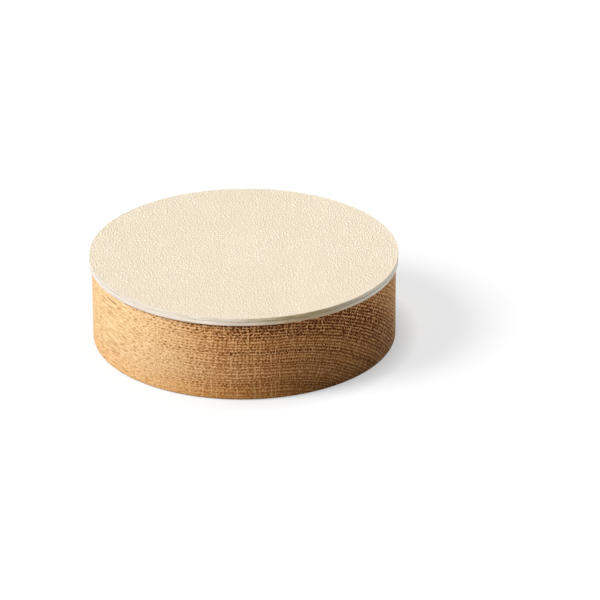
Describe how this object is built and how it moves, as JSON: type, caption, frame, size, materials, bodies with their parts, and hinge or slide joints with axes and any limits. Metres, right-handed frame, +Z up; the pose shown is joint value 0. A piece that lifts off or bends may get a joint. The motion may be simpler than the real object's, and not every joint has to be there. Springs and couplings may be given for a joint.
{
  "type": "round lidded storage box",
  "caption": "Low round storage box turned from solid oak, with a lift-off lid of two bonded leather discs centred in the mouth by a plug under it.",
  "frame": {"origin": "centre of the base, on the surface the box stands on", "axes": "+Z up along the axis of the turned body, towards the lid; -Y towards the viewer of the picture"},
  "size_m": [0.16, 0.16, 0.0466],
  "materials": {
    "oak": "oiled, fine turned surface with open pores",
    "felt": "pressed wool felt",
    "liner_leather": "fine pebble grain, matte",
    "plywood": "sanded birch plywood",
    "lower_leather": "fine pebble grain, cut edge left pale",
    "bond": "dull adhesive film",
    "top_leather": "fine pebble grain, matte"
  },
  "bodies": {
    "box": {"oak_body": "oak", "base_felt": "felt", "floor_liner": "liner_leather"},
    "lid": {"lid_plug_disc": "plywood", "lid_lower_leather": "lower_leather", "lid_bond_film": "bond", "lid_top_leather": "top_leather"}
  },
  "joints": [
    {"name": "lid_lift", "type": "slide", "parent": "box", "child": "lid", "axis": [0, 0, 1], "range_m": [0, 0.12]}
  ]
}
